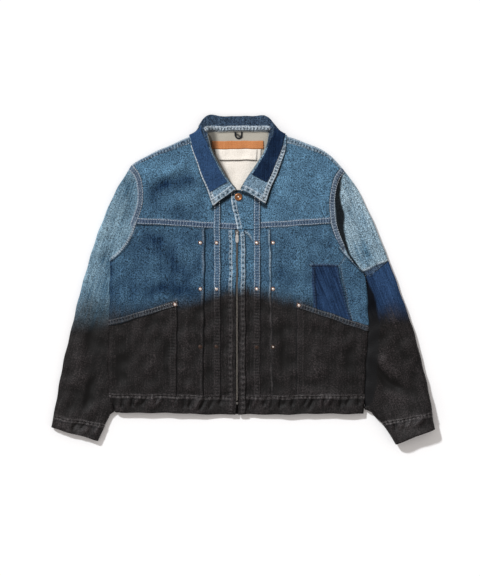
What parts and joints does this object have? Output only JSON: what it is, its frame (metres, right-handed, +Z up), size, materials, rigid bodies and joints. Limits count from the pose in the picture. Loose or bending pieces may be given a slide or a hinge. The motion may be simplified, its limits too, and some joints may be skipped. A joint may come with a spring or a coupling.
{
  "type": "patched denim jacket",
  "caption": "Cropped zip-front denim jacket with point collar, patch pockets and mended panels in mixed blues, black at the bottom, laid flat on its back.",
  "frame": {"origin": "middle of the footprint, on the surface that the garment lies on", "axes": "+X toward the wearer's left sleeve, +Y toward the collar, +Z up from the surface, off the front"},
  "size_m": [0.8456, 0.7232, 0.0225],
  "materials": {
    "blue_denim": "washed blue denim",
    "pale_denim": "faded pale denim",
    "indigo_cloth": "dark indigo cloth",
    "dyed_denim": "denim dyed black",
    "zip_metal": "worn pale zip metal",
    "copper": "aged copper-coloured metal",
    "leather": "tan leather",
    "label_cloth": "cream label cloth"
  },
  "bodies": {
    "jacket": {"back": "blue_denim", "button": "copper", "collar": "blue_denim", "collar_patch_l": "indigo_cloth", "collar_patch_r": "indigo_cloth", "cuff_l": "dyed_denim", "cuff_r": "dyed_denim", "front_l": "blue_denim", "front_r": "blue_denim", "hanger_loop": "dyed_denim", "hem_back": "dyed_denim", "hem_l": "dyed_denim", "hem_r": "dyed_denim", "label_large": "label_cloth", "label_small": "label_cloth", "leather_strip": "leather", "neck_tab_l": "blue_denim", "patch_l": "indigo_cloth", "pocket_l": "dyed_denim", "pocket_r": "dyed_denim", "rivet_front_l_1": "copper", "rivet_front_l_2": "copper", "rivet_front_l_3": "copper", "rivet_front_r_1": "copper", "rivet_front_r_2": "copper", "rivet_front_r_3": "copper", "rivet_pocket_l": "copper", "rivet_pocket_r": "copper", "rivet_strip_l_1": "copper", "rivet_strip_l_2": "copper", "rivet_strip_l_3": "copper", "rivet_strip_r_1": "copper", "rivet_strip_r_2": "copper", "rivet_strip_r_3": "copper", "side_patch_l": "blue_denim", "sleeve_l_lower": "indigo_cloth", "sleeve_l_upper": "pale_denim", "sleeve_r": "pale_denim", "strip_l": "blue_denim", "strip_r": "blue_denim", "welt_l": "dyed_denim", "welt_r": "dyed_denim", "yoke_l": "blue_denim", "yoke_r": "blue_denim", "zip_chain": "zip_metal", "zip_placket_l": "blue_denim", "zip_placket_r": "blue_denim", "zip_slider": "zip_metal", "zip_stop": "zip_metal", "zip_tape_l": "dyed_denim", "zip_tape_r": "dyed_denim"},
    "pull": {"zip_pull": "zip_metal"}
  },
  "joints": [
    {"name": "zip_pull_hinge", "type": "hinge", "parent": "jacket", "child": "pull", "pos_m": [-0.01313, 0.10481, 0.0167], "axis": [-1, 0, 0], "range_deg": [0, 162]}
  ]
}
